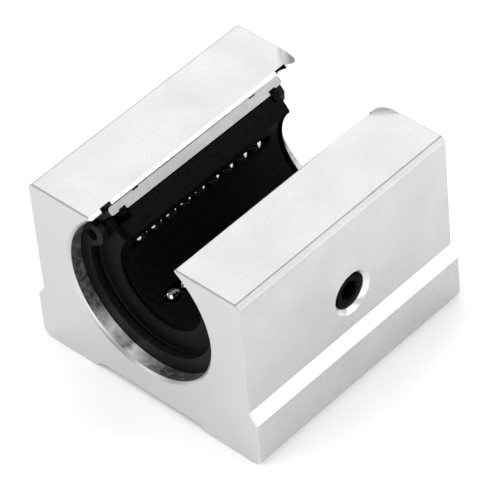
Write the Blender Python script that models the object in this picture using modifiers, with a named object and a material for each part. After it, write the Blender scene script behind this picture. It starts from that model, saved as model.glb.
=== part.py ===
"""Open linear ball bushing for a 16 mm rail shaft, in its aluminium pillow block.

Frame: origin at the centre of the mounting face, +X across the block, +Y along the bore
with the front face at -Y, and +Z up to the slot that the shaft support passes through.
Angles round the bore are in degrees from +Z, positive towards +X.
"""

import math

import bmesh
import bpy

MM = 0.001

# Pillow block
LENGTH = 45.0 * MM
HEIGHT = 32.0 * MM
TOP_WIDTH = 41.9 * MM
BASE_WIDTH = 44.6 * MM
STEP_TOP = 10.5 * MM            # height where the side starts to slope out to the foot
STEP_BOTTOM = 8.5 * MM
FOOT_RADIUS = 1.5 * MM
TOP_CHAMFER = 0.75 * MM
BORE_HEIGHT = 20.0 * MM
BORE_RADIUS = 14.0 * MM
BORE_MOUTH = 0.45 * MM
SLOT_HALF = 8.25 * MM
LIP_CHAMFER = 0.45 * MM         # between the slot's walls and the lands
RECESS_DEPTH = 1.1 * MM
PAD_INNER = 11.1 * MM           # the two mounting pads start this far from the middle
RECESS_SLOPE = 2.0 * MM
BOLT_SPACING_X = 32.0 * MM
BOLT_SPACING_Y = 30.0 * MM
BOLT_HOLE_RADIUS = 2.1 * MM     # tapping size for an M5 thread
BOLT_HOLE_DEPTH = 10.0 * MM

# Ball bushing
SLEEVE_LENGTH = 37.0 * MM
SLEEVE_RADIUS = 13.9 * MM
SLEEVE_INNER = 12.1 * MM
SLEEVE_EDGE = 0.45 * MM
MOUTH_RADIUS = 12.5 * MM        # counterbore at each end, for the seal
MOUTH_START = 16.9 * MM
RING_GROOVE_RADIUS = 12.75 * MM
RING_GROOVE = (15.55 * MM, 16.9 * MM)
OUTER_GROOVE = (12.0 * MM, 13.25 * MM)
OUTER_GROOVE_RADIUS = 13.65 * MM
RACEWAY_RADIUS = 10.93 * MM
RACEWAY_HALF = 12.2 * MM
OPEN_ANGLE = 39.0               # half of the opening in the steel sleeve

# Resin ball retainer
RETAINER_INNER = 8.25 * MM
RETAINER_OUTER = 10.75 * MM
RETAINER_HUMP = 11.9 * MM
RETAINER_HALF = 17.0 * MM
HUMP_HALF = 15.4 * MM
POCKET_FLOOR = 8.85 * MM
LOAD_FLOOR = 8.4 * MM
TRACK_HALF = 1.58 * MM
SLIT_HALF = 1.2 * MM

# Ball circuits: four of the five evenly spaced circuits that a closed bushing has
SHAFT_RADIUS = 8.0 * MM
BALL_RADIUS = 1.389 * MM
BALL_PITCH = 3.1 * MM
BALLS_IN_ROW = 9
CIRCUIT_ANGLES = (-72.0, -144.0, 144.0, 72.0)
TRACK_SHIFT = 1.95 * MM         # each row runs this far from its circuit's middle
LOAD_HEIGHT = 9.184 * MM
RETURN_HEIGHT = 10.4 * MM
RETURN_PITCH = 2.75 * MM
HALF_PITCH = BALL_PITCH / 2

# End seals, snap rings, circlips and the adjusting screw
SEAL_LIP = 8.05 * MM
SEAL_OUTER = 12.35 * MM
SEAL_SPAN = (17.1 * MM, 18.1 * MM)
SEAL_RIM_INNER = 11.55 * MM
SEAL_RIM_END = 18.45 * MM       # the rim stands proud and is flush with the sleeve's end
SEAL_OPEN_ANGLE = 50.0
SNAP_RING = (11.65 * MM, 12.6 * MM)
SNAP_SPAN = (15.7 * MM, 16.75 * MM)
CIRCLIP_GROOVE_RADIUS = 14.8 * MM
CIRCLIP_GROOVE = (17.85 * MM, 19.95 * MM)
CIRCLIP_RADII = (12.05 * MM, 14.65 * MM)
CIRCLIP_OFFSET = 0.6 * MM       # the inner edge is off centre, so the ring tapers to its lugs
CIRCLIP_SPAN = (18.65 * MM, 19.85 * MM)
CIRCLIP_END = 59.0              # the ring stops at its lugs, this far round from the slot
LUG = ((12.3 * MM, 52.6), (11.0 * MM, 54.0), (10.2 * MM, 62.5), (10.5 * MM, 68.5),
       (11.6 * MM, 75.5), (12.1 * MM, 78.5))
LUG_HOLE_RADIUS = 1.05 * MM
LUG_HOLE_AT = (12.45 * MM, 65.2)
SCREW_HEIGHT = 17.1 * MM
SCREW_ALONG = 0.6 * MM          # towards the rear of the block's middle
SCREW_RADIUS = 2.95 * MM
SCREW_HOLE_RADIUS = 3.1 * MM
SCREW_HEAD_X = 20.2 * MM
SCREW_TIP_X = 14.1 * MM
SCREW_COUNTERSINK = 3.8 * MM
SOCKET_RADIUS = 1.73 * MM       # 3 mm hexagon socket, measured across its corners
SOCKET_DEPTH = 2.6 * MM

STEP = 6                        # degrees between the corners of a round outline
TURN_STEPS = 60
OUTSIDE = 1.0 * MM              # how far a cutter runs past what it cuts


# ---------------------------------------------------------------- scene and materials

for old in list(bpy.data.objects):
    bpy.data.objects.remove(old, do_unlink=True)


def new_collection(name):
    collection = bpy.data.collections.new(name)
    bpy.context.scene.collection.children.link(collection)
    return collection


PARTS = new_collection("linear_ball_bushing")
CUTTERS = new_collection("cutters")


def new_material(name, colour, roughness, metallic):
    material = bpy.data.materials.new(name)
    material.use_nodes = True
    shader = material.node_tree.nodes["Principled BSDF"]
    shader.inputs["Base Color"].default_value = (*colour, 1.0)
    shader.inputs["Roughness"].default_value = roughness
    shader.inputs["Metallic"].default_value = metallic
    return material


ALUMINIUM = new_material("satin_aluminium", (0.78, 0.78, 0.79), 0.42, 1.0)
BEARING_STEEL = new_material("ground_bearing_steel", (0.60, 0.60, 0.61), 0.30, 1.0)
BALL_STEEL = new_material("polished_ball_steel", (0.75, 0.75, 0.76), 0.08, 1.0)
RESIN = new_material("black_acetal_resin", (0.018, 0.018, 0.018), 0.45, 0.0)
RUBBER = new_material("black_nitrile_rubber", (0.014, 0.014, 0.014), 0.60, 0.0)
BLACK_STEEL = new_material("black_oxide_spring_steel", (0.035, 0.035, 0.037), 0.38, 0.8)


# ---------------------------------------------------------------- modelling helpers

def around(radius, angle):
    """The (x, z) point at an angle from +Z round the bore's axis, seen from the bore."""
    turn = math.radians(angle)
    return (radius * math.sin(turn), radius * math.cos(turn))


def arc(radius, start, end):
    """Points from one angle to another, with corners at whole multiples of STEP."""
    sign = 1 if end > start else -1
    low, high = min(start, end), max(start, end)
    inner = [a for a in range(-360, 361, STEP) if low + 0.3 < a < high - 0.3]
    return [around(radius, a) for a in [start, *inner[::sign], end]]


def add_object(name, mesh, collection):
    thing = bpy.data.objects.new(name, mesh)
    collection.objects.link(thing)
    return thing


def extruded(name, outline, span, collection, height=0.0):
    """A flat (x, z) outline drawn as a 2D curve and extruded along Y over the span."""
    curve = bpy.data.curves.new(name, "CURVE")
    curve.dimensions = "2D"
    curve.fill_mode = "BOTH"
    curve.extrude = (span[1] - span[0]) / 2
    spline = curve.splines.new("POLY")
    spline.points.add(len(outline) - 1)
    spline.use_cyclic_u = True
    for point, (x, z) in zip(spline.points, outline):
        point.co = (x, z, 0.0, 1.0)
    drawn = add_object(name + "_curve", curve, collection)
    depsgraph = bpy.context.evaluated_depsgraph_get()
    mesh = bpy.data.meshes.new_from_object(drawn.evaluated_get(depsgraph))
    bpy.data.objects.remove(drawn, do_unlink=True)
    solid = bmesh.new()
    solid.from_mesh(mesh)
    bmesh.ops.remove_doubles(solid, verts=solid.verts, dist=1e-6)
    bmesh.ops.dissolve_limit(solid, angle_limit=0.001, verts=solid.verts, edges=solid.edges)
    bmesh.ops.recalc_face_normals(solid, faces=solid.faces)
    solid.to_mesh(mesh)
    solid.free()
    thing = add_object(name, mesh, collection)
    thing.rotation_euler = (math.radians(90), 0.0, 0.0)
    thing.location = (0.0, (span[0] + span[1]) / 2, height)
    return thing


def turned(name, profile, collection, location=(0.0, 0.0, 0.0), axis="Y", steps=TURN_STEPS):
    """A closed (radius, along) profile, outer side first and top down, turned by Screw."""
    mesh = bpy.data.meshes.new(name)
    edges = [(i, i + 1) for i in range(len(profile) - 1)]
    if profile[0][0] > 0:
        edges.append((len(profile) - 1, 0))
    mesh.from_pydata([(radius, 0.0, along) for radius, along in profile], edges, [])
    thing = add_object(name, mesh, collection)
    screw = thing.modifiers.new("turn", "SCREW")
    screw.steps = steps
    screw.render_steps = steps
    screw.use_merge_vertices = True
    screw.merge_threshold = 1e-6
    thing.rotation_euler = {
        "X": (0.0, math.radians(90), 0.0),
        "Y": (math.radians(-90), 0.0, 0.0),
        "Z": (0.0, 0.0, 0.0),
    }[axis]
    thing.location = location
    return thing


def combine(target, other, operation):
    """A Boolean of target with other, which stays as a hidden cutter."""
    boolean = target.modifiers.new(other.name, "BOOLEAN")
    boolean.operation = operation
    boolean.solver = "EXACT"
    boolean.object = other
    other.hide_render = True
    other.display_type = "WIRE"


def cut(target, cutter):
    combine(target, cutter, "DIFFERENCE")


def join(target, extra):
    combine(target, extra, "UNION")


def finish(thing, material):
    thing.data.materials.clear()
    thing.data.materials.append(material)
    return thing


def opening_wedge(name, half_angle):
    """The sector round +Z that the shaft support passes through, as a cutter."""
    outline = [(0.0, 0.0), around(24 * MM, -half_angle), around(24 * MM, half_angle)]
    span = (-LENGTH / 2 - OUTSIDE, LENGTH / 2 + OUTSIDE)
    return extruded(name, outline, span, CUTTERS, BORE_HEIGHT)


def ring_profile(inner, outer, span):
    return [(outer, span[1]), (outer, span[0]), (inner, span[0]), (inner, span[1])]


def on_axis(y=0.0):
    return (0.0, y, BORE_HEIGHT)


# ---------------------------------------------------------------- pillow block

def mirrored(points):
    return [(-x, z) for x, z in reversed(points)]


def block_outline():
    """The block's section without its bore: pads, recess, foot, sides, lands and slot."""
    half_base, half_top = BASE_WIDTH / 2, TOP_WIDTH / 2
    corner = (half_base - FOOT_RADIUS, FOOT_RADIUS)
    foot = [(corner[0] + FOOT_RADIUS * math.sin(t), corner[1] - FOOT_RADIUS * math.cos(t))
            for t in (i * math.pi / 8 for i in range(5))]
    right = [
        (PAD_INNER - RECESS_SLOPE, RECESS_DEPTH),
        (PAD_INNER - 0.35 * RECESS_SLOPE, 0.72 * RECESS_DEPTH),
        (PAD_INNER, 0.0),
        *foot,
        (half_base, STEP_BOTTOM),
        (half_top, STEP_TOP),
        (half_top, HEIGHT - TOP_CHAMFER),
        (half_top - TOP_CHAMFER, HEIGHT),
        (SLOT_HALF + LIP_CHAMFER, HEIGHT),
        (SLOT_HALF, HEIGHT - LIP_CHAMFER),
        (SLOT_HALF, BORE_HEIGHT + BORE_RADIUS / 3),
    ]
    return [*right, *mirrored(right)]


def bore_profile():
    """The bore with its chamfered mouths and the two circlip grooves, top down."""
    end = LENGTH / 2
    inner, outer = CIRCLIP_GROOVE
    half = [
        (BORE_RADIUS + 2 * BORE_MOUTH, end + BORE_MOUTH),
        (BORE_RADIUS, end - BORE_MOUTH),
        (BORE_RADIUS, outer),
        (CIRCLIP_GROOVE_RADIUS, outer),
        (CIRCLIP_GROOVE_RADIUS, inner),
        (BORE_RADIUS, inner),
    ]
    top = (0.0, end + BORE_MOUTH)
    return [top, *half, *[(r, -y) for r, y in reversed(half)], (0.0, -top[1])]


def add_housing():
    half = LENGTH / 2
    housing = extruded("housing", block_outline(), (-half, half), PARTS)
    cut(housing, turned("bore", bore_profile(), CUTTERS, on_axis()))
    for x in (-BOLT_SPACING_X / 2, BOLT_SPACING_X / 2):
        for y in (-BOLT_SPACING_Y / 2, BOLT_SPACING_Y / 2):
            hole = turned(f"bolt_hole_{len(CUTTERS.objects)}",
                          [(0.0, BOLT_HOLE_DEPTH + BOLT_HOLE_RADIUS * 0.6),
                           (BOLT_HOLE_RADIUS, BOLT_HOLE_DEPTH),
                           (BOLT_HOLE_RADIUS, 0.5 * MM),
                           (BOLT_HOLE_RADIUS + 1.0 * MM, -0.5 * MM),
                           (0.0, -0.5 * MM)],
                          CUTTERS, (x, y, 0.0), "Z", 16)
            cut(housing, hole)
    side_x = TOP_WIDTH / 2
    cone_depth = SCREW_COUNTERSINK - SCREW_HOLE_RADIUS
    screw_hole = turned("screw_hole",
                        [(0.0, side_x + cone_depth),
                         (SCREW_COUNTERSINK + cone_depth, side_x + cone_depth),
                         (SCREW_HOLE_RADIUS, side_x - cone_depth),
                         (SCREW_HOLE_RADIUS, 12.0 * MM),
                         (0.0, 12.0 * MM)],
                        CUTTERS, (0.0, SCREW_ALONG, SCREW_HEIGHT), "X", 24)
    cut(housing, screw_hole)
    return finish(housing, ALUMINIUM)


# ---------------------------------------------------------------- steel sleeve

def sleeve_half_profile():
    """Outer side from the middle out to the end, then back along the inner side."""
    half = SLEEVE_LENGTH / 2
    outer = [
        (SLEEVE_RADIUS, OUTER_GROOVE[0]),
        (OUTER_GROOVE_RADIUS, OUTER_GROOVE[0]),
        (OUTER_GROOVE_RADIUS, OUTER_GROOVE[1]),
        (SLEEVE_RADIUS, OUTER_GROOVE[1]),
        (SLEEVE_RADIUS, half - SLEEVE_EDGE),
        (SLEEVE_RADIUS - SLEEVE_EDGE, half),
    ]
    inner = [
        (MOUTH_RADIUS + SLEEVE_EDGE / 2, half),
        (MOUTH_RADIUS, half - SLEEVE_EDGE / 2),
        (MOUTH_RADIUS, MOUTH_START),
        (RING_GROOVE_RADIUS, RING_GROOVE[1]),
        (RING_GROOVE_RADIUS, RING_GROOVE[0]),
        (SLEEVE_INNER, RING_GROOVE[0]),
    ]
    return outer, inner


def add_sleeve():
    outer, inner = sleeve_half_profile()
    top_down = [*reversed(outer), *[(r, -y) for r, y in outer]]
    back_up = [*[(r, -y) for r, y in inner], *reversed(inner)]
    sleeve = turned("outer_sleeve", [*top_down, *back_up], PARTS, on_axis())
    for index, centre in enumerate(CIRCUIT_ANGLES, start=1):
        row = centre - math.degrees(math.atan2(TRACK_SHIFT, LOAD_HEIGHT))
        outline = [*arc(RACEWAY_RADIUS, row - 14, row + 7),
                   *arc(SLEEVE_INNER + 0.4 * MM, row + 7, row - 14)]
        land = extruded(f"raceway_land_{index}", outline, (-RACEWAY_HALF, RACEWAY_HALF),
                        CUTTERS, BORE_HEIGHT)
        join(sleeve, land)
    cut(sleeve, opening_wedge("sleeve_opening", OPEN_ANGLE))
    return finish(sleeve, BEARING_STEEL)


# ---------------------------------------------------------------- ball retainer

def local_box(name, centre_angle, across, out, along):
    """A box cutter in a circuit's own frame: across the track, out from the axis, along Y."""
    bpy.ops.mesh.primitive_cube_add(size=1.0)
    box = bpy.context.active_object
    box.name = name
    for owner in list(box.users_collection):
        owner.objects.unlink(box)
    CUTTERS.objects.link(box)
    size = [high - low for low, high in (across, along, out)]
    middle = [(high + low) / 2 for low, high in (across, along, out)]
    for vertex in box.data.vertices:
        for i in range(3):
            vertex.co[i] = vertex.co[i] * size[i] + middle[i]
    box.rotation_euler = (0.0, math.radians(centre_angle), 0.0)
    box.location = on_axis()
    return box


def retainer_humps():
    """Angle spans that stand proud, between the grooves that clear the raceway lands."""
    load_turn = math.degrees(math.atan2(TRACK_SHIFT, LOAD_HEIGHT))
    rows = sorted((centre - load_turn) % 360 for centre in CIRCUIT_ANGLES)
    starts = [OPEN_ANGLE - 4, *[row + 8.5 for row in rows]]
    ends = [*[row - 15.5 for row in rows], 364 - OPEN_ANGLE]
    return zip(starts, ends)


def add_retainer():
    span = (-RETAINER_HALF, RETAINER_HALF)
    retainer = turned("ball_retainer", ring_profile(RETAINER_INNER, RETAINER_OUTER, span),
                      PARTS, on_axis())
    for index, (start, end) in enumerate(retainer_humps(), start=1):
        outline = [*arc(RETAINER_HUMP, start, end), *arc(RETAINER_OUTER - 0.6 * MM, end, start)]
        hump = extruded(f"hump_{index}", outline, (-HUMP_HALF, HUMP_HALF), CUTTERS,
                        BORE_HEIGHT)
        join(retainer, hump)
    run = (BALLS_IN_ROW - 1) / 2 * BALL_PITCH
    turn = run + TRACK_SHIFT
    inner, outer = TRACK_SHIFT - TRACK_HALF, TRACK_SHIFT + TRACK_HALF
    past = RETAINER_HUMP + OUTSIDE
    for index, centre in enumerate(CIRCUIT_ANGLES, start=1):
        load_end = turn + TRACK_HALF + 0.03 * MM
        cut(retainer, local_box(f"load_track_{index}", centre, (-outer, -inner),
                                (LOAD_FLOOR, past), (-load_end, load_end)))
        cut(retainer, local_box(f"return_track_{index}", centre, (inner, outer),
                                (POCKET_FLOOR, past), (-turn, turn)))
        for side, sign in (("front", -1), ("rear", 1)):
            along = sorted((sign * (turn - TRACK_HALF), sign * (turn + TRACK_HALF)))
            across = outer + 0.05 * MM
            cut(retainer, local_box(f"turn_track_{side}_{index}", centre, (-across, across),
                                    (POCKET_FLOOR - 0.05 * MM, past + 0.1 * MM), along))
        slit = (-TRACK_SHIFT - SLIT_HALF, -TRACK_SHIFT + SLIT_HALF)
        reach = run + HALF_PITCH + SLIT_HALF
        cut(retainer, local_box(f"ball_slit_{index}", centre, slit,
                                (SHAFT_RADIUS - OUTSIDE, LOAD_FLOOR + 0.2 * MM),
                                (-reach, reach)))
    cut(retainer, opening_wedge("retainer_opening", OPEN_ANGLE + 0.4))
    return finish(retainer, RESIN)


# ---------------------------------------------------------------- balls

def in_circuit(centre_angle, across, out, along):
    """A world point from a circuit's own frame: across the track, out from the axis, along."""
    turn = math.radians(centre_angle)
    return (across * math.cos(turn) + out * math.sin(turn), along,
            BORE_HEIGHT - across * math.sin(turn) + out * math.cos(turn))


def ball_mesh():
    mesh = bpy.data.meshes.new("ball")
    ball = bmesh.new()
    bmesh.ops.create_icosphere(ball, subdivisions=1, radius=BALL_RADIUS)
    ball.to_mesh(mesh)
    ball.free()
    mesh.shade_smooth()
    mesh.materials.append(BALL_STEEL)
    return mesh


def add_motion_axis(name, location, centre_angle=0.0):
    """An empty on the joint's axis, which its pieces hang from."""
    axis = add_object(name, None, PARTS)
    axis.location = location
    axis.rotation_euler = (0.0, math.radians(centre_angle), 0.0)
    return axis


def hang(piece, axis, offset):
    piece.parent = axis
    piece.location = offset


def return_row_profile():
    """A string of touching balls as one profile, top down, with a small neck between."""
    neck = math.sqrt(BALL_RADIUS ** 2 - (RETURN_PITCH / 2) ** 2)
    neck_turn = math.degrees(math.asin(neck / BALL_RADIUS))
    points = [(0.0, (BALLS_IN_ROW - 1) / 2 * RETURN_PITCH + BALL_RADIUS)]
    for ball in range(BALLS_IN_ROW):
        middle = ((BALLS_IN_ROW - 1) / 2 - ball) * RETURN_PITCH
        for turn in (45, 90, 135):
            points.append((BALL_RADIUS * math.sin(math.radians(turn)),
                           middle + BALL_RADIUS * math.cos(math.radians(turn))))
        if ball < BALLS_IN_ROW - 1:
            last = math.radians(180 - neck_turn)
            points.append((neck, middle + BALL_RADIUS * math.cos(last)))
    points.append((0.0, -points[0][1]))
    return points


def add_balls():
    mesh = ball_mesh()
    run = (BALLS_IN_ROW - 1) / 2 * BALL_PITCH
    for index, centre in enumerate(CIRCUIT_ANGLES, start=1):
        slide = add_motion_axis(f"load_row_{index}_axis",
                                in_circuit(centre, -TRACK_SHIFT, LOAD_HEIGHT, 0.0))
        for ball in range(BALLS_IN_ROW):
            piece = add_object(f"load_ball_{index}_{ball + 1}", mesh, PARTS)
            hang(piece, slide, (0.0, ball * BALL_PITCH - run, 0.0))
        row = turned(f"return_row_{index}", return_row_profile(), PARTS,
                     in_circuit(centre, TRACK_SHIFT, RETURN_HEIGHT, 0.0), "Y", 6)
        finish(row, BALL_STEEL)
        for side, sign in (("front", -1), ("rear", 1)):
            pivot = add_motion_axis(f"turn_{side}_{index}_axis",
                                    in_circuit(centre, 0.0, RETURN_HEIGHT, sign * run), centre)
            piece = add_object(f"turn_ball_{side}_{index}", mesh, PARTS)
            hang(piece, pivot, (0.0, sign * TRACK_SHIFT, 0.0))


# ---------------------------------------------------------------- rings, seals and screw

def add_seal(side, sign):
    """A side seal: a rubber ring with a raised rim, and a wiping lip at its inner edge."""
    inside, outside = SEAL_SPAN
    lip_base = SEAL_LIP + 1.0 * MM
    profile = [
        (SEAL_OUTER, SEAL_RIM_END),
        (SEAL_OUTER, inside),
        (lip_base, inside),
        (SEAL_LIP, inside + 0.35 * MM),
        (SEAL_LIP, outside - 0.35 * MM),
        (lip_base, outside),
        (SEAL_RIM_INNER - 0.2 * MM, outside),
        (SEAL_RIM_INNER, SEAL_RIM_END),
    ]
    if sign < 0:
        profile = [(r, -y) for r, y in reversed(profile)]
    seal = turned(f"end_seal_{side}", profile, PARTS, on_axis(), steps=40)
    cut(seal, opening_wedge(f"seal_opening_{side}", SEAL_OPEN_ANGLE))
    return finish(seal, RUBBER)


def add_snap_ring(side, sign):
    """The ring inside the sleeve that holds the retainer's shoulder."""
    span = sorted(sign * y for y in SNAP_SPAN)
    ring = turned(f"snap_ring_{side}", ring_profile(*SNAP_RING, span), PARTS, on_axis(),
                  steps=40)
    cut(ring, opening_wedge(f"snap_ring_opening_{side}", OPEN_ANGLE + 1.0))
    return finish(ring, BLACK_STEEL)


def add_circlip(side, sign):
    """The ring in the block that holds the bushing, ending in two pierced lugs."""
    inner, outer = CIRCLIP_RADII
    last = LUG[-1][1] + STEP / 2
    outline = [
        *arc(outer, CIRCLIP_END, 360 - CIRCLIP_END),
        *[around(radius, -angle) for radius, angle in LUG],
        *[(x, z + CIRCLIP_OFFSET) for x, z in arc(inner, 360 - last, last)],
        *[around(radius, angle) for radius, angle in reversed(LUG)],
    ]
    span = sorted(sign * y for y in CIRCLIP_SPAN)
    ring = extruded(f"circlip_{side}", outline, span, PARTS, BORE_HEIGHT)
    for hand, turn in (("right", 1), ("left", -1)):
        x, z = around(LUG_HOLE_AT[0], turn * LUG_HOLE_AT[1])
        hole = turned(f"lug_hole_{side}_{hand}",
                      [(0.0, LENGTH), (LUG_HOLE_RADIUS, LENGTH),
                       (LUG_HOLE_RADIUS, -LENGTH), (0.0, -LENGTH)],
                      CUTTERS, (x, 0.0, BORE_HEIGHT + z), steps=12)
        cut(ring, hole)
    return finish(ring, BLACK_STEEL)


def add_screw():
    """The grub screw that sets the bushing's clearance, turning about X."""
    bevel = 0.5 * MM
    screw = turned("adjusting_screw",
                   [(0.0, SCREW_HEAD_X),
                    (SCREW_RADIUS - bevel, SCREW_HEAD_X),
                    (SCREW_RADIUS, SCREW_HEAD_X - bevel),
                    (SCREW_RADIUS, SCREW_TIP_X + 2 * bevel),
                    (SCREW_RADIUS - 2 * bevel, SCREW_TIP_X),
                    (0.0, SCREW_TIP_X)],
                   PARTS, (0.0, SCREW_ALONG, SCREW_HEIGHT), "X", 24)
    socket = turned("screw_socket",
                    [(0.0, SCREW_HEAD_X + OUTSIDE),
                     (SOCKET_RADIUS, SCREW_HEAD_X + OUTSIDE),
                     (SOCKET_RADIUS, SCREW_HEAD_X - SOCKET_DEPTH),
                     (0.0, SCREW_HEAD_X - SOCKET_DEPTH - 0.4 * MM)],
                    CUTTERS, (0.0, SCREW_ALONG, SCREW_HEIGHT), "X", 6)
    cut(screw, socket)
    return finish(screw, BLACK_STEEL)


add_housing()
add_sleeve()
add_retainer()
add_balls()
for end, direction in (("front", -1), ("rear", 1)):
    add_seal(end, direction)
    add_snap_ring(end, direction)
    add_circlip(end, direction)
add_screw()
bpy.context.view_layer.update()
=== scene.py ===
"""Looks for the open linear ball bushing in its pillow block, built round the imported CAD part.

Sizes are in millimetres until a mesh is made. Frame: +X across the block towards the
adjusting screw, +Y along the bore, +Z up; angles round the bore run from +Z towards +X.
"""

import math

import bmesh
import bpy
from mathutils import Matrix, Vector


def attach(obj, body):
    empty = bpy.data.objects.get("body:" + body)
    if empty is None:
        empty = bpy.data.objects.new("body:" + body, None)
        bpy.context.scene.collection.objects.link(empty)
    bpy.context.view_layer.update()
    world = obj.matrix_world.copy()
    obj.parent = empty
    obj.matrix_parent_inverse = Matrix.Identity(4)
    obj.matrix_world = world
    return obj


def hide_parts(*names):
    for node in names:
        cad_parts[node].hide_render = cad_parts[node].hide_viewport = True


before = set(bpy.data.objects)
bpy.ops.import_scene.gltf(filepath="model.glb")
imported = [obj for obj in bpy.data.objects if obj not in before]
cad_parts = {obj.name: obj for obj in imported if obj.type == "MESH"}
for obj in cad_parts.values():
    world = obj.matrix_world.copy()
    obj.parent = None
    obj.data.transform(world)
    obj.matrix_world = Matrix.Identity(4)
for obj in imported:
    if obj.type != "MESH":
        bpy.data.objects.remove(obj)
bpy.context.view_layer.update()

MM = 0.001

# Pillow block
LENGTH, HEIGHT = 45.0, 32.0
TOP_WIDTH, BASE_WIDTH = 41.9, 44.6
STEP_TOP, STEP_BOTTOM = 10.5, 8.5
FOOT_RADIUS, TOP_CHAMFER = 1.5, 0.75
BORE_HEIGHT, BORE_RADIUS, BORE_MOUTH = 20.0, 14.0, 0.45
SLOT_HALF, LIP_CHAMFER = 8.25, 0.45
RECESS_DEPTH, PAD_INNER, RECESS_SLOPE = 1.1, 11.1, 2.0
END_ROUND, BLOCK_EDGE = 0.32, 0.08
CORNER_REACH, CORNER_DROP, CORNER_CLEARANCE = 3.2, 0.8, 0.008
BOLT_X, BOLT_Y = 16.0, 15.0
BOLT_MINOR, BOLT_MAJOR, BOLT_PITCH, BOLT_DEPTH = 2.1, 2.42, 0.8, 10.0
BOLT_MOUTH, BOLT_MOUTH_DEPTH, BOLT_DRILL_POINT = 0.65, 0.55, 1.2

# Ball bushing
SLEEVE_HALF, SLEEVE_RADIUS, SLEEVE_INNER = 18.5, 13.9, 12.1
MOUTH_RADIUS = 12.5
RING_GROOVE_RADIUS, RING_GROOVE = 12.75, (15.55, 16.9)
OUTER_GROOVE_RADIUS, OUTER_GROOVE = 13.65, (12.0, 13.25)
RACEWAY_RADIUS, RACEWAY_HALF, RACEWAY_ARC = 10.93, 12.2, (-14.1, 7.1)
OPEN_ANGLE = 39.0
RETAINER_INNER, RETAINER_OUTER, RETAINER_HUMP = 8.25, 10.75, 11.9
RETAINER_HALF, HUMP_HALF, HUMP_GAPS = 17.0, 15.4, (-15.5, 8.5)
POCKET_FLOOR, LOAD_FLOOR = 8.85, 8.4
TRACK_HALF, SLIT_HALF, TRACK_SHIFT = 1.58, 1.2, 1.95
BALL_RADIUS, BALL_PITCH, BALLS = 1.389, 3.1, 9
CIRCUITS = (-72.0, -144.0, 144.0, 72.0)
LOAD_HEIGHT, RETURN_HEIGHT, RETURN_PITCH = 9.184, 10.4, 2.75
RUN = (BALLS - 1) / 2 * BALL_PITCH

# Seals, rings and screw
SEAL_LIP, SEAL_OUTER, SEAL_SPAN = 8.05, 12.35, (17.1, 18.1)
SEAL_RIM_INNER, SEAL_RIM_END, SEAL_OPEN_ANGLE = 11.55, 18.45, 50.0
SNAP_INNER, SNAP_OUTER, SNAP_SPAN = 11.65, 12.6, (15.7, 16.75)
CIRCLIP_GROOVE_RADIUS, CIRCLIP_GROOVE = 14.8, (17.85, 19.95)
CIRCLIP_INNER, CIRCLIP_OUTER, CIRCLIP_SPAN = 12.05, 14.65, (18.65, 19.85)
CIRCLIP_OFFSET, CIRCLIP_END, CIRCLIP_WIDENS = 0.6, 59.0, 82.5
LUG_HOLE_RADIUS, LUG_HOLE_RING, LUG_HOLE_ANGLE = 1.05, 12.45, 65.2
SCREW_HEIGHT, SCREW_ALONG, SCREW_RADIUS, SCREW_HOLE_RADIUS = 17.1, 0.6, 2.95, 3.1
SCREW_HEAD_X, SCREW_TIP_X, SCREW_COUNTERSINK = 20.2, 14.1, 3.8
SCREW_ROOT, SCREW_PITCH, SCREW_HOLE_X = 2.83, 0.75, 12.0
SOCKET_RADIUS, SOCKET_MOUTH, SOCKET_DEPTH = 1.73, 0.75, 2.6

# A circlip's lug, from the ring's end round to its inner edge: radius, angle, rounding
LUG = ((12.3, 52.6, 0.75), (11.0, 54.0, 0.75), (10.2, 62.5, 0.8),
       (10.5, 68.5, 0.7), (11.6, 75.5, 0.3), (12.1, 78.5, 0.4))

# The bore wall's tone by its place from -14 mm (0) to +14 mm (1) across: lighter and darker
# bands, darkest (BORE_SHADE) at the far left and on the right side
BORE_TONE_BANDS = ((0.07, 0.06), (0.13, 0.45), (0.22, 1.0), (0.295, 0.25), (0.34, 1.0),
               (0.41, 0.70), (0.50, 0.22), (0.60, 0.04))
BORE_SHADE = 0.06

FLOOR_HALF, FLOOR_LEVEL = 2500.0, -0.03
AMBIENT = 0.35

# Square softboxes: direction from the target, distance and side in metres, radiance,
# whether reflections show it, and the target
PART_MIDDLE, RIGHT_FLOOR = (0.0, 0.0, 15.0), (50.0, 0.0, 0.0)
SOFTBOXES = (
    ("back_softbox", (-0.52, 0.50, 0.69), 1.1, 0.75, 1.9, True, PART_MIDDLE),
    ("side_softbox", (0.75, 0.50, 0.32), 1.1, 0.8, 1.9, True, PART_MIDDLE),
    ("left_softbox", (-0.52, -0.69, 0.50), 1.1, 0.6, 1.3, True, PART_MIDDLE),
    ("floor_fill", (-0.25, -0.35, 1.0), 1.4, 1.2, 3.0, False, PART_MIDDLE),
    ("front_softbox", (0.62, -0.60, 0.42), 1.1, 0.9, 1.7, True, PART_MIDDLE),
    ("right_floor_fill", (0.6, 0.5, 0.6), 0.45, 0.3, 2.8, False, RIGHT_FLOOR),
)

CAMERA_TARGET, CAMERA_DISTANCE, CAMERA_LENS = (-0.07, -0.18, 15.0), 586.7, 290.79
CAMERA_AZIMUTH, CAMERA_ELEVATION, CAMERA_ROLL = 46.534, 43.772, -5.836


# ---------------------------------------------------------------- mesh helpers

def on_bore(radius, along, angle):
    """A point at a radius and an angle round the bore's axis."""
    turn = math.radians(angle)
    return (radius * math.sin(turn), along, BORE_HEIGHT + radius * math.cos(turn))


def on_screw(radius, along, angle):
    """A point at a radius and an angle round the adjusting screw's axis."""
    turn = math.radians(angle)
    return (along, SCREW_ALONG + radius * math.sin(turn),
            SCREW_HEIGHT + radius * math.cos(turn))


def upright(x, y):
    """Places points round an upright axis."""
    def place(radius, along, angle):
        turn = math.radians(angle)
        return (x + radius * math.cos(turn), y + radius * math.sin(turn), along)
    return place


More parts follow.
